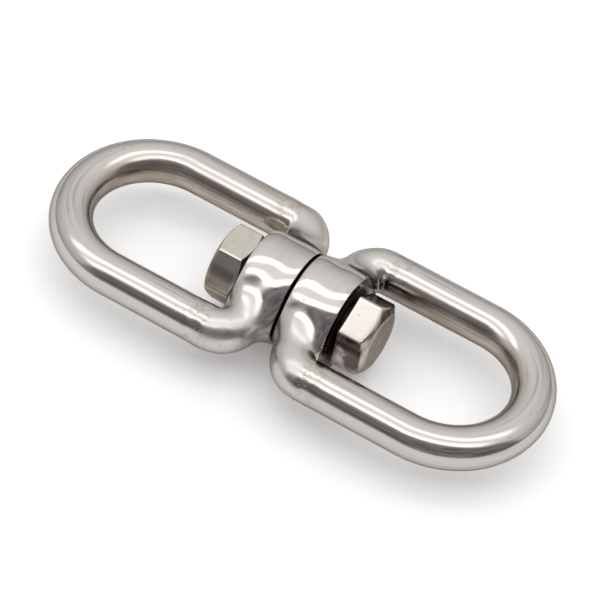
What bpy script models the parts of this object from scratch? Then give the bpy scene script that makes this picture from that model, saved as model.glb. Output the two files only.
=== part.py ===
"""Eye-and-eye anchor swivel: two welded eyes that turn on one locked bolt.

Metres, +Z up. The origin is on the swivel axis, midway between the two collars. +X runs along the
swivel axis to the eye that holds the bolt head. Both eyes lie in the XY plane at rest.
"""

import math

import bmesh
import bpy
from mathutils import Vector

MM = 0.001

# Eyes: round bar bent to a U, butt welded to the ears of a cast collar
BAR_RADIUS = 4.0 * MM
LEG_SPACING = 15.2 * MM          # leg centreline to swivel axis
CROWN_X = 30.0 * MM              # centre of the half-round crown
EAR_X = 5.5 * MM                 # where an ear stands out of its collar
ELBOW_RADIUS = 4.7 * MM          # centreline of the ear's quarter turn
EAR_ROOT = 6.4 * MM              # how far in towards the axis an ear is rooted in the collar wall
EAR_STRAIGHT = 0.4 * MM          # straight end of the ear after its quarter turn
COLLAR_RADIUS = 9.5 * MM
COLLAR_INNER_FACE = 0.2 * MM     # face towards the other collar
COLLAR_OUTER_FACE = 9.5 * MM     # face towards its own eye
COLLAR_ROUNDING = 0.8 * MM
BORE_RADIUS = 4.35 * MM
BORE_CHAMFER = 0.5 * MM

# Butt welds between ear and bar
WELD_GAP = 0.3 * MM
WELD_LENGTH = 1.0 * MM
WELD_CROWN = 0.12 * MM           # height of the dressed bead over the bar

# M8 bolt and nut
ACROSS_FLATS = 13.0 * MM
HEAD_SEAT = 10.4 * MM            # leaves the end play between bolt head and collar
HEAD_HEIGHT = 5.9 * MM
HEAD_TURN = math.radians(22.5)   # a corner's angle from +Y about the swivel axis
NUT_SEAT = -10.1 * MM
NUT_HEIGHT = 5.9 * MM
NUT_TURN = math.radians(60)
HEX_CHAMFER = math.radians(30)
HEAD_CHAMFER_CIRCLE = 0.80       # diameter of the flat inside the chamfer, over the width across flats
NUT_CHAMFER_CIRCLE = 0.95
SHANK_RADIUS = 4.0 * MM
THREAD_RADIUS = 3.9 * MM
THREAD_DEPTH = 0.75 * MM
THREAD_PITCH = 1.25 * MM
THREAD_START = -8.6 * MM
THREAD_CLEARANCE = 0.3 * MM
NUT_MOUTH_GROWTH = 0.4 * MM      # the nut's 45-degree countersink, over the thread radius
BOLT_END = -16.6 * MM
BOLT_END_CHAMFER = 0.7 * MM

# Tack weld that locks the nut to the end of the bolt
TACK_RADIUS = 1.9 * MM
TACK_ANGLE = math.radians(-50)   # from +Y about the swivel axis
TACK_CLEARANCE = 0.3 * MM

OVERCUT = 1.0 * MM               # how far a cutter runs past what it cuts

# Facets
BAR_BEVEL = 10                   # bevel resolution 10 makes a 24-sided bar
CROWN_STEPS = 24
ELBOW_STEPS = 6
TURNED_STEPS = 48
SMALL_STEPS = 24
ROUNDING_STEPS = 3
SHARP_ANGLE = math.radians(40)
MERGE = 1e-6

COLLECTION = "anchor_swivel"
QUARTER_TURN = math.pi / 2
HEX_CORNER = ACROSS_FLATS / math.sqrt(3)
ELBOW_END = EAR_X + ELBOW_RADIUS
EAR_END = ELBOW_END + EAR_STRAIGHT
BAR_START = EAR_END + 2 * WELD_GAP + WELD_LENGTH


def clear_scene():
    for obj in list(bpy.data.objects):
        bpy.data.objects.remove(obj, do_unlink=True)


def make_collection(name):
    collection = bpy.data.collections.new(name)
    bpy.context.scene.collection.children.link(collection)
    return collection


def make_material(name, colour, roughness):
    material = bpy.data.materials.new(name)
    material.use_nodes = True
    shader = material.node_tree.nodes["Principled BSDF"]
    shader.inputs["Base Color"].default_value = (*colour, 1.0)
    shader.inputs["Metallic"].default_value = 1.0
    shader.inputs["Roughness"].default_value = roughness
    material.diffuse_color = (*colour, 1.0)
    return material


def add_object(name, data, collection, parent=None):
    obj = bpy.data.objects.new(name, data)
    collection.objects.link(obj)
    obj.parent = parent
    return obj


def add_axis_empty(name, turn_z):
    """An empty on the swivel axis that carries one moving body."""
    empty = add_object(name, None, parts)
    empty.rotation_euler = (0, 0, turn_z)
    return empty


def as_cutter(obj):
    obj.hide_render = True
    obj.display_type = "WIRE"
    return obj


def mesh_from_bmesh(name, bm):
    mesh = bpy.data.meshes.new(name)
    bm.to_mesh(mesh)
    bm.free()
    return mesh


def turned(name, profile, steps, collection, parent, closed=True):
    """A turned solid on the X axis. The profile is (radius, x) pairs, from high x to low x outside."""
    bm = bmesh.new()
    verts = [bm.verts.new((radius, 0, x)) for radius, x in profile]
    for first, second in zip(verts, verts[1:]):
        bm.edges.new((first, second))
    if closed:
        bm.edges.new((verts[-1], verts[0]))
    obj = add_object(name, mesh_from_bmesh(name, bm), collection, parent)
    obj.rotation_euler = (0, QUARTER_TURN, 0)
    screw = obj.modifiers.new("Turn", "SCREW")
    screw.axis = "Z"
    screw.steps = screw.render_steps = steps
    screw.use_merge_vertices = True
    screw.merge_threshold = MERGE
    screw.use_smooth_shade = True
    return obj


def boolean(obj, other, operation):
    modifier = obj.modifiers.new(other.name, "BOOLEAN")
    modifier.operation = operation
    modifier.object = other
    modifier.solver = "EXACT"


def rounded_corner(centre_radius, centre_x, radius, start, end):
    """Points of an arc in (radius, x), from angle start to end, where 0 points outwards."""
    points = []
    for step in range(ROUNDING_STEPS + 1):
        angle = start + (end - start) * step / ROUNDING_STEPS
        points.append((centre_radius + radius * math.cos(angle), centre_x + radius * math.sin(angle)))
    return points


def bar_along(name, points, collection, parent):
    """A round bar along a flat path, as a mesh with welded end caps."""
    curve = bpy.data.curves.new(name, "CURVE")
    curve.dimensions = "3D"
    curve.twist_mode = "Z_UP"
    curve.bevel_depth = BAR_RADIUS
    curve.bevel_resolution = BAR_BEVEL
    curve.use_fill_caps = True
    spline = curve.splines.new("POLY")
    spline.points.add(len(points) - 1)
    for spline_point, (x, y) in zip(spline.points, points):
        spline_point.co = (x, y, 0, 1)
    guide = add_object(name + "_path", curve, collection, parent)
    bpy.context.view_layer.update()
    evaluated = guide.evaluated_get(bpy.context.evaluated_depsgraph_get())
    mesh = bpy.data.meshes.new_from_object(evaluated)
    mesh.name = name
    bm = bmesh.new()
    bm.from_mesh(mesh)
    bmesh.ops.remove_doubles(bm, verts=bm.verts, dist=MERGE)
    bmesh.ops.recalc_face_normals(bm, faces=bm.faces)
    bm.to_mesh(mesh)
    bm.free()
    mesh.shade_smooth()
    mesh.set_sharp_from_angle(angle=SHARP_ANGLE)
    bpy.data.objects.remove(guide)
    return add_object(name, mesh, collection, parent)


def bow_path():
    """One leg, the half-round crown and the other leg."""
    points = [(BAR_START, LEG_SPACING)]
    for step in range(CROWN_STEPS + 1):
        angle = QUARTER_TURN - math.pi * step / CROWN_STEPS
        points.append((CROWN_X + LEG_SPACING * math.cos(angle), LEG_SPACING * math.sin(angle)))
    points.append((BAR_START, -LEG_SPACING))
    return points


def ear_path(side):
    """From inside the collar wall out and round the elbow, to end square to the leg."""
    points = [(EAR_X, side * EAR_ROOT)]
    for step in range(ELBOW_STEPS + 1):
        angle = math.pi - QUARTER_TURN * step / ELBOW_STEPS
        x = ELBOW_END + ELBOW_RADIUS * math.cos(angle)
        y = LEG_SPACING - ELBOW_RADIUS + ELBOW_RADIUS * math.sin(angle)
        points.append((x, side * y))
    points.append((EAR_END, side * LEG_SPACING))
    return points


def make_collar(name, parent):
    """A short bored collar with an ear on each side that turns forward to meet its leg."""
    rounding = COLLAR_ROUNDING
    wall = COLLAR_RADIUS - rounding
    outside = rounded_corner(wall, COLLAR_OUTER_FACE - rounding, rounding, QUARTER_TURN, 0)
    outside += rounded_corner(wall, COLLAR_INNER_FACE + rounding, rounding, 0, -QUARTER_TURN)
    bore = [
        (BORE_RADIUS + BORE_CHAMFER, COLLAR_INNER_FACE),
        (BORE_RADIUS, COLLAR_INNER_FACE + BORE_CHAMFER),
        (BORE_RADIUS, COLLAR_OUTER_FACE - BORE_CHAMFER),
        (BORE_RADIUS + BORE_CHAMFER, COLLAR_OUTER_FACE),
    ]
    collar = turned(name, outside + bore, TURNED_STEPS, parts, parent)
    for side, word in ((1, "left"), (-1, "right")):
        ear = as_cutter(bar_along(f"{name}_{word}_ear", ear_path(side), cutters, parent))
        boolean(collar, ear, "UNION")
    return collar


def make_weld(name, side, parent):
    """The dressed butt weld between an ear and a leg: a slightly barrelled disc."""
    start = EAR_END + WELD_GAP
    end = start + WELD_LENGTH
    middle = (start + end) / 2
    crown = BAR_RADIUS + WELD_CROWN
    profile = [(0, end), (BAR_RADIUS, end), (crown, middle), (BAR_RADIUS, start), (0, start)]
    weld = turned(name, profile, SMALL_STEPS, parts, parent, closed=False)
    weld.location = (0, side * LEG_SPACING, 0)
    return weld


def make_eye(prefix, turn_z):
    """Collar, bow and two welds, all carried by an empty on the swivel axis."""
    frame = add_axis_empty(prefix + "_eye_axis", turn_z)
    finish(make_collar(prefix + "_collar", frame), collar_steel)
    finish(bar_along(prefix + "_bow", bow_path(), parts, frame), bar_steel)
    for side, word in ((1, "left"), (-1, "right")):
        finish(make_weld(f"{prefix}_{word}_weld", side, frame), weld_steel)


def hex_prism(name, low, high, turn, collection, parent):
    """A hexagonal prism on the X axis, with a corner at the angle turn from +Y."""
    bm = bmesh.new()
    bmesh.ops.create_cone(
        bm, cap_ends=True, segments=6, radius1=HEX_CORNER, radius2=HEX_CORNER, depth=high - low
    )
    bmesh.ops.translate(bm, verts=bm.verts, vec=Vector((0, 0, (low + high) / 2)))
    prism = add_object(name, mesh_from_bmesh(name, bm), collection, parent)
    prism.rotation_mode = "ZYX"
    prism.rotation_euler = (turn, QUARTER_TURN, 0)
    return prism


def hex_chamfer(name, low, high, circle, chamfer_low, parent):
    """The turned blank that leaves 30-degree chamfers on a hexagon when the two are intersected."""
    flat = ACROSS_FLATS / 2 * circle
    rim = HEX_CORNER + OVERCUT
    drop = (rim - flat) * math.tan(HEX_CHAMFER)
    profile = [(0, high), (flat, high), (rim, high - drop)]
    profile += [(rim, low + drop), (flat, low)] if chamfer_low else [(rim, low)]
    profile += [(0, low)]
    return as_cutter(turned(name, profile, TURNED_STEPS, cutters, parent, closed=False))


def helical_rod(name, growth, low, high, parent):
    """A right-handed threaded rod along X, longer than low to high by a turn at each end.

    growth is added to both radii, so the same form cuts the nut with clearance.
    """
    crest = THREAD_RADIUS + growth
    root = THREAD_RADIUS - THREAD_DEPTH + growth
    form = [(root, 0), (root, 1 / 4), (crest, 9 / 16), (crest, 11 / 16)]
    first_turn = math.floor(low / THREAD_PITCH) - 1
    last_turn = math.ceil(high / THREAD_PITCH) + 1
    rows = (last_turn - first_turn) * SMALL_STEPS
    bm = bmesh.new()
    grid = []
    for row in range(rows + 1):
        turns = first_turn + row / SMALL_STEPS
        angle = 2 * math.pi * row / SMALL_STEPS
        grid.append([
            bm.verts.new((radius * math.cos(angle), radius * math.sin(angle), (turns + rise) * THREAD_PITCH))
            for radius, rise in form
        ])
    last = len(form) - 1
    for row in range(rows):
        here, after = grid[row], grid[row + 1]
        for k in range(last):
            bm.faces.new((here[k], after[k], after[k + 1], here[k + 1]))
        if row + SMALL_STEPS < rows:
            above, above_after = grid[row + SMALL_STEPS], grid[row + SMALL_STEPS + 1]
            bm.faces.new((here[last], after[last], above_after[0], above[0]))
    middle = (first_turn + last_turn) / 2 * THREAD_PITCH
    for is_top in (False, True):
        rim = [e for e in bm.edges if e.is_boundary and (e.verts[0].co.z > middle) == is_top]
        end = last_turn if is_top else first_turn
        hub = bm.verts.new((0, 0, end * THREAD_PITCH))
        for edge in rim:
            bm.faces.new((*edge.verts, hub))
    bmesh.ops.recalc_face_normals(bm, faces=bm.faces)
    rod = add_object(name, mesh_from_bmesh(name, bm), cutters, parent)
    rod.rotation_euler = (0, QUARTER_TURN, 0)
    return as_cutter(rod)


def make_bolt(parent):
    """Hexagon head, plain shank and threaded end, as one solid."""
    head_top = HEAD_SEAT + HEAD_HEIGHT
    bolt = hex_prism("hex_bolt", HEAD_SEAT, head_top, HEAD_TURN, parts, parent)
    blank = hex_chamfer("head_chamfer", HEAD_SEAT, head_top, HEAD_CHAMFER_CIRCLE, False, parent)
    boolean(bolt, blank, "INTERSECT")
    shank_top = HEAD_SEAT + OVERCUT
    shank_profile = [
        (0, shank_top), (SHANK_RADIUS, shank_top), (SHANK_RADIUS, THREAD_START), (0, THREAD_START)
    ]
    shank = as_cutter(turned("shank", shank_profile, SMALL_STEPS, cutters, parent, closed=False))
    boolean(bolt, shank, "UNION")
    thread_top = THREAD_START + THREAD_PITCH
    thread = helical_rod("bolt_thread", 0, BOLT_END, thread_top, parent)
    rim = THREAD_RADIUS + OVERCUT
    tip = THREAD_RADIUS - BOLT_END_CHAMFER
    trim_profile = [
        (0, thread_top), (rim, thread_top), (rim, BOLT_END + rim - tip), (tip, BOLT_END), (0, BOLT_END)
    ]
    trim = as_cutter(turned("thread_trim", trim_profile, SMALL_STEPS, cutters, parent, closed=False))
    boolean(thread, trim, "INTERSECT")
    boolean(bolt, thread, "UNION")
    return bolt


def make_nut(parent):
    """Hexagon nut with chamfers on both faces and a full internal thread."""
    low = NUT_SEAT - NUT_HEIGHT
    nut = hex_prism("hex_nut", low, NUT_SEAT, NUT_TURN, parts, parent)
    blank = hex_chamfer("nut_chamfer", low, NUT_SEAT, NUT_CHAMFER_CIRCLE, True, parent)
    boolean(nut, blank, "INTERSECT")
    boolean(nut, helical_rod("nut_tap", THREAD_CLEARANCE, low, NUT_SEAT, parent), "DIFFERENCE")
    mouth = THREAD_RADIUS + NUT_MOUTH_GROWTH
    for name, face, inward in (("nut_mouth_collar_side", NUT_SEAT, -1), ("nut_mouth_end", low, 1)):
        outside = face - inward * OVERCUT
        cone = [(0, outside), (mouth + OVERCUT, outside), (0, face + inward * mouth)]
        if inward > 0:
            cone.reverse()
        countersink = as_cutter(turned(name, cone, SMALL_STEPS, cutters, parent, closed=False))
        boolean(nut, countersink, "DIFFERENCE")
    return nut


def make_tack(parent):
    """A small weld bead that bridges the nut's end face and the end of the bolt."""
    nut_end = NUT_SEAT - NUT_HEIGHT
    bm = bmesh.new()
    bmesh.ops.create_uvsphere(
        bm, u_segments=SMALL_STEPS, v_segments=SMALL_STEPS // 2, radius=TACK_RADIUS
    )
    bead = add_object("nut_lock_weld", mesh_from_bmesh("nut_lock_weld", bm), parts, parent)
    bead.location = (
        nut_end, THREAD_RADIUS * math.cos(TACK_ANGLE), THREAD_RADIUS * math.sin(TACK_ANGLE)
    )
    nut_clear = nut_end - TACK_CLEARANCE
    bolt_clear = BOLT_END - TACK_CLEARANCE
    thread_clear = THREAD_RADIUS + TACK_CLEARANCE
    seat_profile = [
        (0, NUT_SEAT), (HEX_CORNER, NUT_SEAT), (HEX_CORNER, nut_clear),
        (thread_clear, nut_clear), (thread_clear, bolt_clear), (0, bolt_clear),
    ]
    seat = as_cutter(turned("tack_seat", seat_profile, SMALL_STEPS, cutters, parent, closed=False))
    boolean(bead, seat, "DIFFERENCE")
    return bead


def finish(obj, material):
    obj.data.materials.clear()
    obj.data.materials.append(material)


clear_scene()
parts = make_collection(COLLECTION)
cutters = make_collection("cutters")
collar_steel = make_material("polished_cast_steel", (0.60, 0.58, 0.56), 0.14)
bar_steel = make_material("polished_bar_steel", (0.62, 0.60, 0.58), 0.08)
weld_steel = make_material("dressed_weld", (0.52, 0.47, 0.42), 0.25)
bolt_steel = make_material("bolt_steel", (0.60, 0.57, 0.53), 0.2)
nut_steel = make_material("nut_steel", (0.60, 0.57, 0.51), 0.24)

make_eye("nut_side", math.pi)
bolt_axis = add_axis_empty("bolt_axis", 0)
finish(make_bolt(bolt_axis), bolt_steel)
finish(make_nut(bolt_axis), nut_steel)
finish(make_tack(bolt_axis), weld_steel)
make_eye("head_side", 0)
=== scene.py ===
"""Looks of the eye-and-eye anchor swivel: polished stainless bar eyes, cast collars, bolt and nut.

Lengths are in millimetres until a mesh is made. The nut-side eye is built like the head-side eye
and turned half round about Z.
"""

import math

import bpy
import numpy as np
from mathutils import Matrix, Vector


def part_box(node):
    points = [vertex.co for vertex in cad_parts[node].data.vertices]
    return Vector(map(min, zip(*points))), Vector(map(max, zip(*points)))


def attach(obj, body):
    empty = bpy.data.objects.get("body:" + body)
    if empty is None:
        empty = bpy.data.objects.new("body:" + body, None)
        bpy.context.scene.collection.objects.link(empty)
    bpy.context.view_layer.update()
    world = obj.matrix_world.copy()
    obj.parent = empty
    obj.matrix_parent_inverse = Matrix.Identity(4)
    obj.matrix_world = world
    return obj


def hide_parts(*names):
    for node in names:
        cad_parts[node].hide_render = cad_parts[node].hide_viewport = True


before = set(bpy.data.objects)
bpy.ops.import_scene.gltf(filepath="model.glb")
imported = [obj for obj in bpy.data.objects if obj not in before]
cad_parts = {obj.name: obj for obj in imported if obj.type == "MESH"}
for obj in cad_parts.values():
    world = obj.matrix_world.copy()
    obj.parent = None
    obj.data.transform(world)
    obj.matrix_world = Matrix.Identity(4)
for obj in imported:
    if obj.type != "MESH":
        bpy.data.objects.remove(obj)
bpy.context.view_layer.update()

MM = 0.001


def node_box(node):
    """Lowest and highest corner of a CAD node, in millimetres."""
    low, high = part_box(node)
    return low / MM, high / MM


bow_low, bow_high = node_box("head_side_bow")
collar_low, collar_high = node_box("head_side_collar")
bolt_low, bolt_high = node_box("hex_bolt")
nut_low, nut_high = node_box("hex_nut")

# Eyes
BAR_RADIUS = bow_high.z
LEG_SPACING = bow_high.y - BAR_RADIUS
CROWN_X = bow_high.x - BAR_RADIUS - LEG_SPACING
BAR_START = bow_low.x
ELBOW_RADIUS = 4.4               # centreline of the ear's quarter turn
ELBOW_END = 10.0
EAR_END = collar_high.x
EAR_BLEND = 2.6                  # reach of the blend between ear and collar
KNUCKLE = 0.10                   # how much thicker than the bar the ear is at its elbow
EAR_FLARE = 0.6                  # how much the ear widens where it leaves the collar
COLLAR_RADIUS = collar_high.z
COLLAR_INNER_FACE = collar_low.x
COLLAR_OUTER_FACE = 9.5
COLLAR_ROUNDING = 0.12
COLLAR_BARREL = 0.42             # how much lower the collar is at its rims than in its middle
COLLAR_WAIST = 0.10              # shallow hollow round the collar's middle
CAST_WAVE = 0.042                # height of the hand-polishing waves on the castings
BAR_WAVE = 0.008
LUMP = 0.012                     # height of the small lumps beside the welds
SKIN = 0.05                      # the polished surfaces lie this far inside the true ones
BORE_RADIUS = 4.35
BORE_CHAMFER = 0.5
WELD_OVERLAP = 0.9               # how far a weld runs past the ends of the ear and the bar
WELD_LIFT = 0.012                # how far the dressed weld stands over the ear and the bar

# Bolt and nut
ACROSS_FLATS = 13.0
HEAD_SEAT = 10.4
HEAD_TOP = bolt_high.x
HEAD_TURN = math.radians(22.5)   # a corner's angle from +Y about the swivel axis
NUT_TURN = math.radians(60)
NUT_SEAT = nut_high.x
NUT_END = nut_low.x
NUT_MIDDLE = (NUT_SEAT + NUT_END) / 2
BOLT_END = bolt_low.x
HEAD_CHAMFER_CIRCLE = 0.80 * ACROSS_FLATS / 2
NUT_CHAMFER_CIRCLE = 0.95 * ACROSS_FLATS / 2
CHAMFER_SLOPE = math.tan(math.radians(30))
SHANK_RADIUS = 4.0
THREAD_RADIUS = 3.9
THREAD_DEPTH = 0.75
THREAD_PITCH = 1.25
THREAD_START = -8.6
THREAD_RUN_OUT = 1.2
THREAD_PLAY = 0.08
BOLT_END_CHAMFER = 0.7
FORGED_WAVE = 0.01               # height of the bolt's unevenness
NUT_MOUTH = 0.4
TACK_ANGLE = math.radians(-50)
TACK_HALF_SIZE = (1.25, 1.75, 1.75)
HEAD_ROUNDING = 0.5
NUT_ROUNDING = 0.7

# Camera, found from the way the eyes, collars and hexagons foreshorten
CAMERA_AZIMUTH = math.radians(22.01)
CAMERA_ELEVATION = math.radians(48.19)
CAMERA_ROLL = math.radians(11.41)
CAMERA_DISTANCE = 560.7
CAMERA_LENS = 191.5
SENSOR_WIDTH = 36

# Studio: floor, plain room, dark side and lamps. A lamp's low and high are measured across its
# length, and LAMP_ENDS along it, both as slopes of the ray from the straight-up direction.
FLOOR_RADIUS = 3.0               # metres
FLOOR_ALBEDO = 0.95
FLOOR_GLOW = 0.13                # lifts the shadows as a light table does
ROOM_AT_HORIZON = 0.58
ROOM_OVERHEAD = 1.20
DARK_SIDE = (0.5, -0.85, -0.15)
DARK_DEEP = (0.1296, 0.1128, 0.1344, 1)
DARK_PALE = (0.3296, 0.3104, 0.3136, 1)
HORIZON_LINE = 0.36
LAMP_ACROSS = (-0.410, 0.912, 0.0)
LAMP_ALONG = (0.912, 0.410, 0.0)
LAMP_ENDS = ((-1.40, -0.95), (0.95, 0.45))
LAMPS = ((-0.58, 0.27, 1.30), (0.03, 0.24, 2.3), (-0.57, -0.29, 2.3))    # low, high, power

# Meshes
BOW_ROWS = 240
BAR_SIDES = 96
WELD_ROWS = 40
COLLAR_CELL = 0.17
FLAT_STEPS = 20
CORNER_STEPS = 6
ROUNDING_STEPS = 4
TACK_ROWS = 40
TACK_SIDES = 64

# Colours
EDGE_TINT = (0.44, 0.42, 0.40, 1)    # darkens the steel where it turns away from view
BAR_COLOUR = (0.53, 0.50, 0.47)
CAST_COLOUR = (0.54, 0.515, 0.49)
BOLT_COLOUR = (0.53, 0.49, 0.455)
NUT_COLOUR = (0.55, 0.52, 0.455)
LINE_BROWN = (0.30, 0.26, 0.235)
PIT_BROWN = (0.13, 0.10, 0.085)
HEAT_STRAW = (0.33, 0.27, 0.215)
# painted shade: brown streaks on the eyes' inner sides, standing in for a darker reflection
INSIDE_SHADE = (0.28, 0.22, 0.175)
CROWN_BROWN = (0.24, 0.19, 0.165)
# painted dark reflection on the bolt head's side flats
BOLT_SIDE_SHADE = (0.10, 0.07, 0.066)
# painted dark reflection on the nut's side flats
NUT_SIDE_SHADE = (0.17, 0.15, 0.155)
# painted shade in the gaps at the collars' faces
COLLAR_RECESS_SHADE = (0.10, 0.08, 0.07)
# painted shade under the bolt head
HEAD_RECESS_SHADE = (0.06, 0.05, 0.045)
# painted shade inside the nut's bore
THREAD_SHADE = (0.08, 0.065, 0.055)

FULL_TURN = 2 * math.pi
TINY = 1e-9


# ---- numbers on points -------------------------------------------------------------------------

def waves(points, wavelength, seed, count=10):
    """A smooth uneven value, mostly from -1 to 1: sine waves in random directions."""
    rng = np.random.default_rng(seed)
    directions = rng.normal(size=(count, 3))
    directions /= np.linalg.norm(directions, axis=1)[:, None]
    lengths = wavelength * rng.uniform(0.7, 1.5, count)
    phases = rng.uniform(0, FULL_TURN, count)
    total = np.zeros(len(points))
    for direction, length, phase in zip(directions, lengths, phases):
        total += np.sin(points @ (direction * FULL_TURN / length) + phase)
    return total / math.sqrt(count)


def smooth_min(a, b, reach):
    """The lower of two values, blended where they differ by less than reach."""
    blend = np.clip(0.5 + 0.5 * (b - a) / reach, 0, 1)
    return b + (a - b) * blend - reach * blend * (1 - blend)


def smooth_max(a, b, reach):
    """The higher of two values, blended where they differ by less than reach."""
    return -smooth_min(-a, -b, reach)


def smooth_step(value, low, high):
    """Smoothly from 0 to 1 as value goes from low to high."""
    share = np.clip((value - low) / (high - low), 0, 1)
    return share * share * (3 - 2 * share)


# ---- meshes ------------------------------------------------------------------------------------

def corner_normals(points, quads):
    """Unit normals at the points, weighted by face area: flats beside small roundings stay flat."""
    a, b, c, d = (points[quads[:, k]] for k in range(4))
    face = np.cross(c - a, d - b)
    normals = np.zeros_like(points)
    for k in range(4):
        np.add.at(normals, quads[:, k], face)
    return normals / np.maximum(np.linalg.norm(normals, axis=1), TINY)[:, None]


def mesh_piece(name, points, quads, normals, material):
    """A smooth-shaded object from points in millimetres. A quad that repeats a point is a triangle."""
    mesh = bpy.data.meshes.new(name)
    faces = [f if f[3] != f[2] else f[:3] for f in quads.tolist()]
    mesh.from_pydata((points * MM).tolist(), [], faces)
    mesh.shade_smooth()
    mesh.normals_split_custom_set_from_vertices(normals.tolist())
    mesh.materials.append(material)
    piece = bpy.data.objects.new(name, mesh)
    bpy.context.scene.collection.objects.link(piece)
    return piece


def solid_piece(name, points, quads, material):
    """A piece from a closed mesh, with its faces turned to point outwards."""
    corners = [points[quads[:, k]] for k in range(4)]
    volume = (np.cross(corners[2] - corners[0], corners[3] - corners[1]) * sum(corners)).sum()
    if volume < 0:
        quads = quads[:, [1, 0, 3, 2]]
    return mesh_piece(name, points, quads, corner_normals(points, quads), material)


def grid_quads(rows, columns, close_rows=False):
    """Faces of a grid of points that is closed across its columns, and along its rows if asked."""
    row = np.arange(rows if close_rows else rows - 1)[:, None]
    column = np.arange(columns)[None, :]
    here = row * columns + column
    beside = row * columns + (column + 1) % columns
    after = (row + 1) % rows * columns + column
    diagonal = (row + 1) % rows * columns + (column + 1) % columns
    return np.stack([here, beside, diagonal, after], -1).reshape(-1, 4)


def capped(points, columns):
    """Adds a middle point at each end of a grid of rows, and the faces that close it."""
    rows = len(points) // columns
    quads = grid_quads(rows, columns)
    first_hub, last_hub = len(points), len(points) + 1
    column = np.arange(columns)
    beside = (column + 1) % columns
    last = (rows - 1) * columns
    start = np.stack([beside, column, np.full(columns, first_hub)], -1)
    end = np.stack([last + column, last + beside, np.full(columns, last_hub)], -1)
    caps = np.concatenate([start, end])
    caps = np.concatenate([caps, caps[:, 2:]], 1)
    hubs = np.stack([points[:columns].mean(0), points[-columns:].mean(0)])
    return np.concatenate([points, hubs]), np.concatenate([quads, caps])


def surface_net(field, low, high, cell):
    """Points and quads on the zero level of a field that is negative inside, on a grid of cells."""
    axes = [np.arange(a, b + cell, cell) for a, b in zip(low, high)]
    shape = tuple(len(axis) for axis in axes)
    values = np.empty(shape)
    for i, x in enumerate(axes[0]):
        y, z = np.meshgrid(axes[1], axes[2], indexing="ij")
        slab = np.stack([np.full(y.size, x), y.ravel(), z.ravel()], 1)
        values[i] = field(slab).reshape(y.shape)
    total = np.zeros([n - 1 for n in shape] + [3])
    crossings = np.zeros([n - 1 for n in shape])
    crossed = []
    around = [(1, 1), (0, 1), (0, 0), (1, 0)]    # cells round a grid edge, in order
    for axis in range(3):
        ahead = np.roll(np.arange(3), -axis)
        one = np.moveaxis(values, ahead, (0, 1, 2))
        side = one < 0
        change = side[:-1] != side[1:]
        i, j, k = np.nonzero(change)
        first, second = one[i, j, k], one[i + 1, j, k]
        share = first / (first - second)
        place = np.stack([i + share, j, k], 1)[:, np.argsort(ahead)]
        corners = [np.stack([i, j - dj, k - dk], 1)[:, np.argsort(ahead)] for dj, dk in around]
        for cells in corners:
            fits = (cells >= 0).all(1) & (cells < np.array(shape) - 1).all(1)
            index = tuple(cells[fits].T)
            np.add.at(total, index, place[fits])
            np.add.at(crossings, index, 1)
        crossed.append((corners, side[i, j, k]))
    active = crossings > 0
    number = np.full(active.shape, -1)
    number[active] = np.arange(active.sum())
    points = total[active] / crossings[active][:, None] * cell + np.array([axis[0] for axis in axes])
    faces = []
    for corners, outward in crossed:
        face = np.stack([number[tuple(corner.T)] for corner in corners], 1)
        faces.append(np.where(outward[:, None], face, face[:, ::-1]))
    return points, np.concatenate(faces)


def gradient(field, points, step=0.02):
    """Slope of a field at the points, along each axis."""
    slopes = np.empty_like(points)
    for axis in range(3):
        offset = np.zeros(3)
        offset[axis] = step
        slopes[:, axis] = (field(points + offset) - field(points - offset)) / (2 * step)
    return slopes


def settle(field, points, quads, rounds=4):
    """Evens out the points of a surface net and draws them onto the field's zero level."""
    edges = np.concatenate([quads[:, [k, (k + 1) % 4]] for k in range(4)])
    for _ in range(rounds):
        near = np.zeros_like(points)
        count = np.zeros(len(points))
        np.add.at(near, edges[:, 0], points[edges[:, 1]])
        np.add.at(near, edges[:, 1], points[edges[:, 0]])
        np.add.at(count, edges.ravel(), 1)
        points = 0.5 * points + 0.5 * near / count[:, None]
        for _ in range(2):
            slope = gradient(field, points)
            steep = np.maximum((slope ** 2).sum(1), 0.05)
            points = points - slope * (field(points) / steep)[:, None]
    return points


def field_piece(name, field, low, high, cell, material):
    """A piece whose surface is the zero level of a field, inside a box."""
    points, quads = surface_net(field, low, high, cell)
    points = settle(field, points, quads)
    slope = gradient(field, points)
    normals = slope / np.maximum(np.linalg.norm(slope, axis=1), TINY)[:, None]
    return mesh_piece(name, points, quads, normals, material)


# ---- materials ---------------------------------------------------------------------------------

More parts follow.
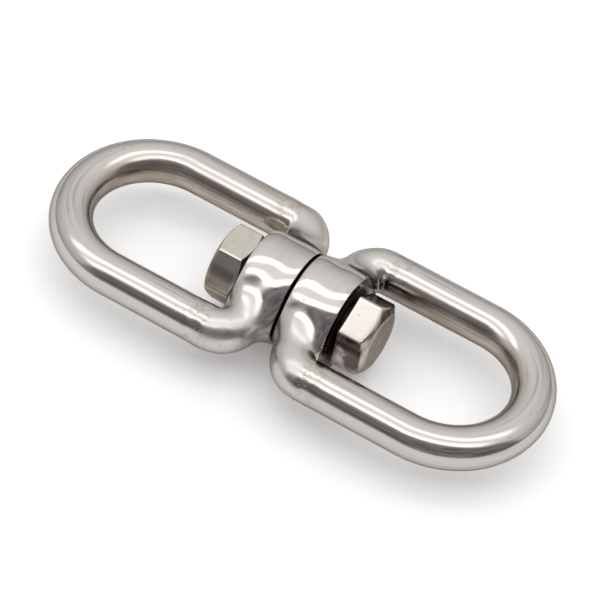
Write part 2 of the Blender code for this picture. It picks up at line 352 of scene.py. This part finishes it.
class Nodes:
    """Adds nodes to a node tree and links them."""

    def __init__(self, tree):
        self.tree = tree

    def add(self, kind, **values):
        node = self.tree.nodes.new(kind)
        for key, value in values.items():
            setattr(node, key, value)
        return node

    def feed(self, socket, value):
        if isinstance(value, bpy.types.NodeSocket):
            self.tree.links.new(value, socket)
        else:
            socket.default_value = value

    def math(self, operation, a, b=0.0, c=0.0):
        node = self.add("ShaderNodeMath", operation=operation)
        for socket, value in zip(node.inputs, (a, b, c)):
            self.feed(socket, value)
        return node.outputs[0]

    def absolute(self, value):
        return self.math("ABSOLUTE", value)

    def both(self, first, *others):
        """The product of some masks."""
        for other in others:
            first = self.math("MULTIPLY", first, other)
        return first

    def split(self, place):
        """The x, y and z of a vector."""
        node = self.add("ShaderNodeSeparateXYZ")
        self.feed(node.inputs[0], place)
        return node.outputs

    def vector(self, operation, a, b):
        node = self.add("ShaderNodeVectorMath", operation=operation)
        self.feed(node.inputs[0], a)
        self.feed(node.inputs[1], b)
        return node.outputs["Value" if operation == "DOT_PRODUCT" else "Vector"]

    def length(self, a, b):
        return self.math("SQRT", self.math("ADD", self.both(a, a), self.both(b, b)))

    def ramp(self, value, low, high, start=0.0, end=1.0):
        """Smoothly from start to end as value goes from low to high."""
        node = self.add("ShaderNodeMapRange", interpolation_type="SMOOTHSTEP")
        for socket, number in zip(node.inputs, (value, low, high, start, end)):
            self.feed(socket, number)
        return node.outputs[0]

    def noise(self, place, scale, detail=3.0):
        """Cloudy noise, about 0.5 on average; scale is in cycles per unit along each axis."""
        node = self.add("ShaderNodeTexNoise")
        self.feed(node.inputs["Vector"], self.vector("MULTIPLY", place, scale))
        self.feed(node.inputs["Scale"], 1.0)
        self.feed(node.inputs["Detail"], detail)
        return node.outputs[0]

    def spots(self, place, per_unit):
        """Distance to the nearest of some scattered points, in cells."""
        node = self.add("ShaderNodeTexVoronoi")
        self.feed(node.inputs["Vector"], place)
        self.feed(node.inputs["Scale"], per_unit)
        return node.outputs["Distance"]

    def mix(self, share, first, second):
        node = self.add("ShaderNodeMix", data_type="RGBA")
        self.feed(node.inputs[0], share)
        self.feed(node.inputs[6], first)
        self.feed(node.inputs[7], second)
        return node.outputs[2]

    def patches(self, place, per_unit, detail, low, high):
        """1 in scattered patches and 0 between them."""
        return self.ramp(self.noise(place, (per_unit,) * 3, detail), low, high)

    def bump(self, height, distance):
        node = self.add("ShaderNodeBump")
        self.feed(node.inputs["Height"], height)
        self.feed(node.inputs["Distance"], distance)
        self.feed(node.inputs["Strength"], 1.0)
        return node.outputs[0]


class Steel:
    """A polished or satin steel: fine lines along a lay, hazy patches, pits, stains and painted shade, all
    procedural.
    """

    def __init__(self, name, colour, roughness, lay=None):
        self.material = bpy.data.materials.new(name)
        self.material.use_nodes = True
        self.n = Nodes(self.material.node_tree)
        self.shader = self.material.node_tree.nodes["Principled BSDF"]
        self.shader.inputs["Metallic"].default_value = 1.0
        self.shader.inputs["Specular Tint"].default_value = EDGE_TINT
        n = self.n
        self.place = n.vector("MULTIPLY", n.add("ShaderNodeTexCoord").outputs["Object"], (1 / MM,) * 3)
        self.x, self.y, self.z = n.split(self.place)
        self.across = n.absolute(self.x)
        self.radius = n.length(self.y, self.z)
        self.lay = n.add("ShaderNodeAttribute", attribute_name=lay).outputs["Vector"] if lay else self.place
        self.colour = (*colour, 1)
        self.roughness = roughness
        self.height = 0.0

    def lines(self, scale, depth, haze, shade):
        """Polishing lines: scale is (along, around, around), depth is in millimetres."""
        n = self.n
        line = n.noise(self.lay, scale, 4.0)
        self.height = n.math("MULTIPLY_ADD", line, depth, self.height)
        self.roughness = n.math("MULTIPLY_ADD", n.math("SUBTRACT", line, 0.5), haze, self.roughness)
        self.stain_or_shade(n.ramp(line, 0.5, 0.78, 0.0, shade), LINE_BROWN)

    def haze(self, per_mm, amount):
        """Patches that are duller or brighter than the rest."""
        n = self.n
        patch = n.math("SUBTRACT", n.noise(self.place, (per_mm,) * 3, 2.0), 0.5)
        self.roughness = n.math("MULTIPLY_ADD", patch, amount, self.roughness)

    def dull(self, mask, roughness):
        """Gives the masked places another roughness."""
        n = self.n
        gap = n.math("SUBTRACT", roughness, self.roughness)
        self.roughness = n.math("MULTIPLY_ADD", mask, gap, self.roughness)

    def stain_or_shade(self, mask, colour):
        """Gives the masked places another colour: a real stain, or painted shade or reflection."""
        self.colour = self.n.mix(mask, self.colour, (*colour, 1))

    def pits(self, mask, per_mm, size, depth):
        """Small dark pits where mask is 1; size is in cells, depth in millimetres."""
        n = self.n
        pit = n.both(n.ramp(n.spots(self.place, per_mm), size, size * 0.45), mask)
        self.height = n.math("MULTIPLY_ADD", pit, -depth, self.height)
        self.stain_or_shade(n.both(pit, 0.75), PIT_BROWN)

    def band(self, low, high, fade):
        """1 where the distance from the middle of the swivel is from low to high."""
        n = self.n
        return n.both(n.ramp(self.across, low - fade, low), n.ramp(self.across, high + fade, high))

    def done(self):
        """Links the finished colour, roughness and surface to the shader."""
        n = self.n
        n.feed(self.shader.inputs["Base Color"], self.colour)
        n.feed(self.shader.inputs["Roughness"], n.math("MAXIMUM", self.roughness, 0.04))
        n.feed(self.shader.inputs["Normal"], n.bump(self.height, MM))
        return self.material


def heat_tint(steel):
    """Straw-brown tint and pits beside the welds."""
    n = steel.n
    beside = steel.band(9.8, 13.2, 2.2)
    cloud = n.patches(steel.place, 0.55, 3.0, 0.42, 0.66)
    steel.stain_or_shade(n.both(beside, cloud, 0.42), HEAT_STRAW)
    few = n.patches(steel.place, 0.8, 1.0, 0.5, 0.6)
    steel.pits(n.both(beside, few, steel.band(9.5, 13.5, 0.5)), 1.5, 0.2, 0.05)


def shade_inside_eye(steel):
    """Painted shade on the eye's inner side: brown streaks that stand in for the darker reflection of the
    shadowed floor there. The inner side is also made duller.
    """
    n = steel.n
    inward = n.split(steel.lay)["Y"]
    clear_of_welds = n.ramp(steel.across, BAR_START + 0.5, BAR_START + 5)
    inside = n.both(n.ramp(inward, 0.5 * BAR_RADIUS, 0.9 * BAR_RADIUS), clear_of_welds)
    streaks = n.ramp(n.noise(steel.lay, (0.12, 0.6, 0.6), 4.0), 0.32, 0.60, 0.25, 0.70)
    # painted shade: browner streaks on the inner side
    steel.stain_or_shade(n.both(inside, streaks), INSIDE_SHADE)
    steel.dull(n.both(inside, 0.6), 0.30)


def make_bar_steel():
    steel = Steel("bar_steel", BAR_COLOUR, 0.16, "lay")
    steel.haze(0.12, 0.08)
    steel.lines((0.07, 2.2, 2.2), 0.0048, 0.18, 0.6)
    steel.pits(steel.n.patches(steel.place, 0.25, 1.0, 0.60, 0.66), 0.7, 0.12, 0.02)
    steel.dull(steel.band(0, BAR_START + 0.5, 2.0), 0.17)
    shade_inside_eye(steel)
    heat_tint(steel)
    return steel.done()


def make_collar_steel():
    steel = Steel("collar_steel", CAST_COLOUR, 0.11)
    n = steel.n
    steel.haze(0.25, 0.10)
    steel.lines((1.2, 0.14, 0.14), 0.003, 0.10, 0.12)
    knuckle = n.both(n.ramp(n.absolute(steel.y), 7.5, 11.5), n.ramp(steel.across, 10.4, 8.6))
    steel.dull(knuckle, n.math("MULTIPLY_ADD", n.noise(steel.place, (0.45,) * 3), 0.36, 0.12))
    steel.pits(n.patches(steel.place, 0.35, 1.0, 0.56, 0.64), 0.9, 0.14, 0.03)
    heat_tint(steel)
    # Painted shade: darker and duller towards the bore, in the gaps by the bolt head, the nut and the other
    # collar.
    recess_shade = n.ramp(steel.radius, 8.2, 6.6)
    steel.stain_or_shade(recess_shade, COLLAR_RECESS_SHADE)
    steel.dull(recess_shade, 0.5)
    return steel.done()


def make_weld_steel():
    steel = Steel("weld_steel", BAR_COLOUR, 0.17)
    steel.haze(0.7, 0.14)
    steel.lines((1.4, 1.4, 1.4), 0.004, 0.10, 0.4)
    heat_tint(steel)
    return steel.done()


def make_bolt_steel():
    steel = Steel("bolt_steel", BOLT_COLOUR, 0.14)
    n = steel.n
    steel.haze(0.4, 0.12)
    steel.lines((0.5, 1.5, 0.45), 0.004, 0.12, 0.1)
    mottle = n.ramp(n.noise(steel.place, (0.3, 1.1, 0.4), 4.0), 0.40, 0.62)
    crown = n.ramp(steel.x, HEAD_TOP - 1.2, HEAD_TOP - 0.3)
    steel.stain_or_shade(n.both(mottle, crown, 0.38), CROWN_BROWN)
    # Painted dark reflection on the head's side flats, in patches.
    patchy_shade = n.patches(steel.place, 0.35, 2.0, 0.24, 0.50)
    sides = n.both(n.ramp(n.absolute(steel.z), 3.6, 2.2), n.ramp(steel.radius, 6.1, 6.5))
    steel.stain_or_shade(n.both(patchy_shade, sides, 0.92), BOLT_SIDE_SHADE)
    steel.pits(n.patches(steel.place, 0.3, 1.0, 0.5, 0.6), 0.9, 0.15, 0.03)
    # Painted shade under the head, round the shank, where the head stands off the collar.
    recess_shade = n.both(n.ramp(steel.radius, 6.3, 5.8), n.ramp(steel.x, HEAD_SEAT + 0.3, HEAD_SEAT))
    steel.stain_or_shade(recess_shade, HEAD_RECESS_SHADE)
    steel.dull(recess_shade, 0.45)
    return steel.done()


def make_nut_steel():
    steel = Steel("nut_steel", NUT_COLOUR, 0.21)
    n = steel.n
    steel.haze(0.4, 0.10)
    steel.lines((1.6, 0.4, 0.4), 0.003, 0.10, 0.25)
    steel.pits(n.patches(steel.place, 0.3, 1.0, 0.58, 0.66), 0.8, 0.11, 0.02)
    # Painted dark reflection on the nut's side flats, towards the middle of its length.
    sides = n.both(n.ramp(n.absolute(steel.z), 4.6, 3.2), n.ramp(steel.radius, 7.25, 6.9))
    from_middle = n.absolute(n.math("SUBTRACT", steel.x, NUT_MIDDLE))
    steel.stain_or_shade(n.both(sides, n.ramp(from_middle, 2.6, 1.9), 0.62), NUT_SIDE_SHADE)
    # Painted shade in the nut's bore: darker and duller inside the thread.
    thread = n.ramp(steel.radius, 4.7, 4.2)
    steel.stain_or_shade(thread, THREAD_SHADE)
    steel.dull(thread, 0.4)
    return steel.done()


# ---- pieces ------------------------------------------------------------------------------------

def set_lay(piece, lay):
    """Stores, at each point, the millimetres along and around the bar that its polishing lines follow."""
    attribute = piece.data.attributes.new("lay", "FLOAT_VECTOR", "POINT")
    attribute.data.foreach_set("vector", lay.ravel())


def bow_centreline():
    """Points and directions along one leg, the half-round crown and the other leg, in millimetres."""
    leg = CROWN_X - BAR_START
    crown = math.pi * LEG_SPACING
    length = 2 * leg + crown
    along = np.linspace(0, length, BOW_ROWS)
    angle = np.clip((along - leg) / LEG_SPACING, 0, math.pi)
    straight = np.minimum(along, leg) - np.maximum(along - leg - crown, 0)
    x = BAR_START + straight + LEG_SPACING * np.sin(angle)
    y = LEG_SPACING * np.cos(angle)
    points = np.stack([x, y, np.zeros_like(x)], 1)
    directions = np.stack([np.cos(angle), -np.sin(angle), np.zeros_like(x)], 1)
    return points, directions, along


def dressing(points):
    """Height of the polished surface over the true one: wavy on castings and welds, finer on bar."""
    x = np.abs(points[:, 0])
    bar = smooth_step(x, EAR_END - 0.8, BAR_START + 3)
    height = waves(points, 5.0, 11) * CAST_WAVE * (1 - bar) + waves(points, 9, 3) * BAR_WAVE * bar
    beside_weld = np.exp(-((x - EAR_END - 0.8) / 1.6) ** 2)
    return height + waves(points, 2.0, 5) * LUMP * beside_weld - SKIN


def make_bow(name, material):
    """The bent bar: rings of points along the bow's centreline, with flat ends."""
    middle, ahead, along = bow_centreline()
    angle = np.linspace(0, FULL_TURN, BAR_SIDES, endpoint=False)
    up = np.array([0.0, 0.0, 1.0])
    aside = np.cross(ahead, up)
    radial = np.cos(angle)[None, :, None] * aside[:, None, :] + np.sin(angle)[None, :, None] * up
    radial = radial.reshape(-1, 3)
    centres = np.repeat(middle, BAR_SIDES, 0)
    height = dressing(centres + BAR_RADIUS * radial)
    points, quads = capped(centres + radial * (BAR_RADIUS + height)[:, None], BAR_SIDES)
    piece = solid_piece(name, points, quads, material)
    around = BAR_RADIUS * np.stack([np.cos(angle), np.sin(angle)], 1)
    lay = np.concatenate([np.repeat(along, BAR_SIDES)[:, None], np.tile(around, (BOW_ROWS, 1))], 1)
    set_lay(piece, np.concatenate([lay, lay[[0, -1]]]))
    return piece


def ear_distance(points):
    """Distance to the centreline of either ear: out of the collar, round the elbow, along the leg.

    It is smaller near the collar, so that the ear widens towards the collar's inner face.
    """
    y, z = np.abs(points[:, 1]), points[:, 2]
    flare = EAR_FLARE * (1 - smooth_step(y, 8.5, 12.5))
    x = points[:, 0] + flare
    centre_y = LEG_SPACING - ELBOW_RADIUS
    ox, oy = x - ELBOW_END, y - centre_y
    turn = np.hypot(np.hypot(ox, oy) - ELBOW_RADIUS, z)
    leg = np.hypot(y - LEG_SPACING, z)
    root = np.hypot(x - (ELBOW_END - ELBOW_RADIUS), z)
    return np.where(ox > 0, leg, np.where(oy < 0, root, turn)) - flare


def collar_field(points):
    """Negative inside a head-side collar: a barrel-shaped ring blended into two ears, then bored."""
    x = points[:, 0]
    radial = np.hypot(points[:, 1], points[:, 2])
    middle = (COLLAR_INNER_FACE + COLLAR_OUTER_FACE) / 2
    half = (COLLAR_OUTER_FACE - COLLAR_INNER_FACE) / 2
    share = np.minimum(((x - middle) / half) ** 2, 1.2)
    radius = COLLAR_RADIUS + COLLAR_WAIST * share - COLLAR_BARREL * share ** 2
    across = np.abs(x - middle) - (half - COLLAR_ROUNDING)
    outward = radial - radius + COLLAR_ROUNDING
    ring = np.hypot(np.maximum(across, 0), np.maximum(outward, 0))
    ring += np.minimum(np.maximum(across, outward), 0) - COLLAR_ROUNDING
    ears = ear_distance(points) - BAR_RADIUS - KNUCKLE * (1 - smooth_step(x, 6, EAR_END - 0.4))
    ears = smooth_max(ears, 5.0 - np.abs(points[:, 1]), 0.5)
    body = smooth_min(ring, ears, EAR_BLEND) - dressing(points)
    body = smooth_max(body, COLLAR_INNER_FACE - x, 0.3)
    body = smooth_max(body, x - EAR_END, 0.1)
    body = smooth_max(body, BORE_RADIUS - radial, 0.1)
    inner_mouth = (BORE_RADIUS + BORE_CHAMFER - radial - (x - COLLAR_INNER_FACE)) / math.sqrt(2)
    outer_mouth = (BORE_RADIUS + BORE_CHAMFER - radial - (COLLAR_OUTER_FACE - x)) / math.sqrt(2)
    return smooth_max(smooth_max(body, inner_mouth, 0.1), outer_mouth, 0.1)


def make_collar(name, material, cell):
    reach = LEG_SPACING + BAR_RADIUS + 1
    low = (COLLAR_INNER_FACE - 1, -reach, -COLLAR_RADIUS - 1)
    high = (EAR_END + 1, reach, COLLAR_RADIUS + 1)
    return field_piece(name, collar_field, low, high, cell, material)


def make_weld(name, side, material):
    """A dressed butt weld, flush with the ear and the bar, whose ends run just under their surfaces."""
    low, high = EAR_END - WELD_OVERLAP, BAR_START + WELD_OVERLAP
    x = np.repeat(np.linspace(low, high, WELD_ROWS), BAR_SIDES)
    around = np.tile(np.linspace(0, FULL_TURN, BAR_SIDES, endpoint=False), WELD_ROWS)
    radial = np.stack([np.zeros_like(around), np.cos(around), np.sin(around)], 1)
    centre = np.stack([x, np.full_like(x, side * LEG_SPACING), np.zeros_like(x)], 1)
    surface = centre + BAR_RADIUS * radial
    past = np.maximum(EAR_END - x, x - BAR_START) + 0.15 * waves(surface, 2.5, 41)
    height = dressing(surface) + WELD_LIFT * (1 - 3.5 * np.maximum(past, 0) ** 2)
    points, quads = capped(centre + radial * (BAR_RADIUS + height)[:, None], BAR_SIDES)
    return solid_piece(name, points, quads, material)


# ---- hexagons and threads ----------------------------------------------------------------------

def hexagon(turn, rounding):
    """Angles about the swivel axis and the radius of a hexagon with rounded corners at each."""
    flat = ACROSS_FLATS / 2
    inner = flat - rounding
    tangent = math.atan(inner * math.tan(math.pi / 6) / flat)
    on_flat = np.linspace(-tangent, tangent, FLAT_STEPS + 1)
    on_corner = np.linspace(tangent, math.pi / 3 - tangent, CORNER_STEPS + 1)[1:-1]
    side = np.concatenate([on_flat, on_corner])
    from_corner = np.abs(side - math.pi / 6)
    hub = inner / math.cos(math.pi / 6)
    square = np.maximum(rounding ** 2 - (hub * np.sin(from_corner)) ** 2, 0)
    rounded = hub * np.cos(from_corner) + np.sqrt(square)
    radius = np.where(side <= tangent, flat / np.cos(side), rounded)
    angles = np.concatenate([turn + math.pi / 6 + k * math.pi / 3 + side for k in range(6)])
    return angles, np.tile(radius, 6)


def profile_rows(corners, trims, runs):
    """Rows of (radius, x) along a profile whose corners are rounded.

    corners holds an array of (radius, x) for each corner, with one entry for each angle. trims are
    the lengths cut off at each corner, and runs the number of steps in each straight stretch.
    """
    corners = np.array(corners)
    ahead = corners[1:] - corners[:-1]
    ahead /= np.maximum(np.linalg.norm(ahead, axis=2), TINY)[..., None]
    rows = [corners[0]]
    for k, run in enumerate(runs):
        start = rows[-1]
        last = k == len(runs) - 1
        trim = 0 if last else trims[k]
        end = corners[k + 1] - ahead[k] * trim
        rows += [start + (end - start) * step / run for step in range(1, run + 1)]
        if trim:
            leave = corners[k + 1] + ahead[k + 1] * trim
            for share in np.arange(1, ROUNDING_STEPS + 1) / ROUNDING_STEPS:
                rows.append(end * (1 - share) ** 2 + corners[k + 1] * 2 * share * (1 - share)
                            + leave * share ** 2)
    return np.array(rows)


def thread_radius(angles, x, growth):
    """Radius of a right-handed thread at each angle and x."""
    share = (x / THREAD_PITCH - angles / FULL_TURN) % 1
    flank = np.clip(2.4 * np.abs(share - 0.5) - 0.1, 0, 1)
    return THREAD_RADIUS + growth - THREAD_DEPTH * (1 - flank)


def round_axis(rows, angles):
    """Points from rows of (radius, x), about the swivel axis."""
    radius, x = rows[..., 0], rows[..., 1]
    return np.stack([x, radius * np.cos(angles), radius * np.sin(angles)], -1).reshape(-1, 3)


def at_angles(radius, x, angles):
    """(radius, x) at each angle, from single values or arrays."""
    return np.stack([np.broadcast_to(radius, angles.shape), np.broadcast_to(x, angles.shape)], -1)


def make_bolt(name, material):
    """Chamfered hexagon head, plain shank and thread, as one profile turned about the axis."""
    angles, hexagon_radius = hexagon(HEAD_TURN, HEAD_ROUNDING)
    drop = (hexagon_radius - HEAD_CHAMFER_CIRCLE) * CHAMFER_SLOPE
    corners = [
        at_angles(0.05, HEAD_TOP, angles),
        at_angles(HEAD_CHAMFER_CIRCLE, HEAD_TOP, angles),
        at_angles(hexagon_radius, HEAD_TOP - drop, angles),
        at_angles(hexagon_radius, HEAD_SEAT, angles),
        at_angles(SHANK_RADIUS, HEAD_SEAT, angles),
        at_angles(SHANK_RADIUS, THREAD_START, angles),
    ]
    rows = profile_rows(corners, [0.6, 0.3, 0.35, 0.3], [16, 4, 14, 8, 20])
    thread_x = np.arange(THREAD_START - 0.1, BOLT_END, -THREAD_PITCH / 10)
    tip = THREAD_RADIUS - BOLT_END_CHAMFER
    thread = []
    for x in list(thread_x) + [BOLT_END]:
        radius = thread_radius(angles, x, 0)
        run_out = smooth_step(THREAD_START - x, 0, THREAD_RUN_OUT)
        radius = SHANK_RADIUS + (radius - SHANK_RADIUS) * run_out
        thread.append(at_angles(np.minimum(radius, tip + (x - BOLT_END)), x, angles))
    end = [at_angles(tip * share, BOLT_END, angles) for share in (0.95, 0.7, 0.4, 0.05)]
    rows = np.concatenate([rows, np.array(thread), np.array(end)])
    points = round_axis(rows, angles)
    points[:, 0] += waves(points, 3.0, 21) * FORGED_WAVE
    points, quads = capped(points, len(angles))
    return solid_piece(name, points, quads, material)


def make_nut(name, material):
    """Hexagon with both ends chamfered, and a thread inside."""
    angles, hexagon_radius = hexagon(NUT_TURN, NUT_ROUNDING)
    drop = (hexagon_radius - NUT_CHAMFER_CIRCLE) * CHAMFER_SLOPE
    mouth = THREAD_RADIUS + NUT_MOUTH
    corners = [
        at_angles(mouth, NUT_SEAT, angles),
        at_angles(NUT_CHAMFER_CIRCLE, NUT_SEAT, angles),
        at_angles(hexagon_radius, NUT_SEAT - drop, angles),
        at_angles(hexagon_radius, NUT_END + drop, angles),
        at_angles(NUT_CHAMFER_CIRCLE, NUT_END, angles),
        at_angles(mouth, NUT_END, angles),
    ]
    rows = profile_rows(corners, [0.2, 0.16, 0.16, 0.2], [6, 4, 16, 4, 6])
    thread = []
    for x in np.arange(NUT_END + 0.1, NUT_SEAT, THREAD_PITCH / 10):
        radius = thread_radius(angles, x, THREAD_PLAY)
        cone = mouth - np.minimum(x - NUT_END, NUT_SEAT - x)
        thread.append(at_angles(np.maximum(radius, cone), x, angles))
    rows = np.concatenate([rows, np.array(thread)])
    points = round_axis(rows, angles)
    quads = grid_quads(len(rows), len(angles), close_rows=True)
    return solid_piece(name, points, quads, material)


def make_tack(name, material):
    """A small uneven bead across the nut's end face and the end of the bolt."""
    polar = np.linspace(0.02, math.pi - 0.02, TACK_ROWS)
    around = np.linspace(0, FULL_TURN, TACK_SIDES, endpoint=False)
    polar, around = (a.ravel() for a in np.meshgrid(polar, around, indexing="ij"))
    out = np.stack([np.cos(polar), np.sin(polar) * np.cos(around), np.sin(polar) * np.sin(around)], 1)
    centre = np.array([
        NUT_END, THREAD_RADIUS * math.cos(TACK_ANGLE), THREAD_RADIUS * math.sin(TACK_ANGLE)
    ])
    points = centre + out * np.array(TACK_HALF_SIZE) * (1 + 0.07 * waves(out * 2, 2.2, 31))[:, None]
    points, quads = capped(points, TACK_SIDES)
    return solid_piece(name, points, quads, material)


def place(piece, node, body, slot):
    """Hides the CAD node that a piece stands for and attaches the piece to its body; slot is not used."""
    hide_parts(node)
    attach(piece, body)


def make_eye(prefix, turn):
    """All pieces of one eye, made on the head side and turned about Z."""
    body = prefix + "_eye"
    pieces = [
        (make_collar(prefix + "_cast_collar", collar_steel, COLLAR_CELL), "_collar", "collar_steel"),
        (make_bow(prefix + "_bent_bow", bar_steel), "_bow", "bar_steel"),
        (make_weld(prefix + "_left_butt_weld", 1, weld_steel), "_left_weld", "weld_steel"),
        (make_weld(prefix + "_right_butt_weld", -1, weld_steel), "_right_weld", "weld_steel"),
    ]
    for piece, node, slot in pieces:
        if turn:
            piece.data.transform(Matrix.Rotation(turn, 4, "Z"))
        place(piece, prefix + node, body, slot)


# ---- studio ------------------------------------------------------------------------------------

def make_camera():
    """Looks at the middle of the swivel from the named direction, rolled about its own axis."""
    data = bpy.data.cameras.new("camera")
    data.lens = CAMERA_LENS
    data.sensor_width = SENSOR_WIDTH
    camera = bpy.data.objects.new("camera", data)
    bpy.context.scene.collection.objects.link(camera)
    back = Vector((
        math.sin(CAMERA_AZIMUTH) * math.cos(CAMERA_ELEVATION),
        -math.cos(CAMERA_AZIMUTH) * math.cos(CAMERA_ELEVATION),
        math.sin(CAMERA_ELEVATION),
    ))
    turn = (-back).to_track_quat("-Z", "Y").to_matrix().to_4x4() @ Matrix.Rotation(CAMERA_ROLL, 4, "Z")
    camera.matrix_world = Matrix.Translation(back * CAMERA_DISTANCE * MM) @ turn
    bpy.context.scene.camera = camera


def grey(value):
    return (value, value, value, 1)


def make_floor():
    """A wide round floor that the collars rest on."""
    mesh = bpy.data.meshes.new("floor")
    angles = np.linspace(0, FULL_TURN, 96, endpoint=False)
    rim = np.stack([np.cos(angles), np.sin(angles), np.zeros_like(angles)], 1) * FLOOR_RADIUS
    mesh.from_pydata(rim.tolist(), [], [list(range(len(rim)))])
    floor = bpy.data.objects.new("floor", mesh)
    bpy.context.scene.collection.objects.link(floor)
    floor.location.z = -COLLAR_RADIUS * MM
    material = bpy.data.materials.new("floor")
    material.use_nodes = True
    shader = material.node_tree.nodes["Principled BSDF"]
    shader.inputs["Base Color"].default_value = grey(FLOOR_ALBEDO)
    shader.inputs["Roughness"].default_value = 0.6
    shader.inputs["Specular IOR Level"].default_value = 0.2
    shader.inputs["Emission Color"].default_value = grey(1.0)
    shader.inputs["Emission Strength"].default_value = FLOOR_GLOW
    mesh.materials.append(material)


def make_studio():
    """A pale room with three long lamps overhead, a dark side in front and a darker line at the horizon.

    The camera itself sees white behind the floor.
    """
    scene = bpy.context.scene
    scene.world = bpy.data.worlds.new("studio")
    scene.world.use_nodes = True
    tree = scene.world.node_tree
    n = Nodes(tree)
    ray = n.add("ShaderNodeTexCoord").outputs["Generated"]
    height = n.split(ray)["Z"]
    room = n.mix(height, grey(ROOM_AT_HORIZON), grey(ROOM_OVERHEAD))
    dark = n.ramp(n.vector("DOT_PRODUCT", ray, DARK_SIDE), 0.20, 0.36)
    cloud = n.ramp(n.noise(ray, (2.5, 2.5, 9.0), 2.0), 0.36, 0.64)
    room = n.mix(dark, room, n.mix(cloud, DARK_DEEP, DARK_PALE))
    horizon = n.both(n.ramp(height, -0.06, -0.02), n.ramp(height, 0.10, 0.05))
    room = n.mix(horizon, room, grey(HORIZON_LINE))
    over = n.math("MAXIMUM", height, 0.02)
    across, along = (
        n.math("DIVIDE", n.vector("DOT_PRODUCT", ray, way), over) for way in (LAMP_ACROSS, LAMP_ALONG)
    )
    ends = n.both(*(n.ramp(along, dim, bright) for dim, bright in LAMP_ENDS))
    for low, high, power in LAMPS:
        strip = n.both(
            n.ramp(across, low - 0.05, low + 0.02), n.ramp(across, high + 0.05, high - 0.02), ends
        )
        room = n.mix(strip, room, grey(power))
    seen = n.add("ShaderNodeLightPath").outputs["Is Camera Ray"]
    n.feed(tree.nodes["Background"].inputs["Color"], n.mix(seen, room, grey(1.0)))


bar_steel = make_bar_steel()
collar_steel = make_collar_steel()
weld_steel = make_weld_steel()
bolt_steel = make_bolt_steel()
nut_steel = make_nut_steel()

make_camera()
make_floor()
make_studio()
make_eye("nut_side", math.pi)
make_eye("head_side", 0)
place(make_bolt("headed_bolt", bolt_steel), "hex_bolt", "bolt_set", "bolt_steel")
place(make_nut("threaded_nut", nut_steel), "hex_nut", "bolt_set", "nut_steel")
place(make_tack("lock_bead", weld_steel), "nut_lock_weld", "bolt_set", "weld_steel")

bpy.context.scene.view_settings.view_transform = "Standard"
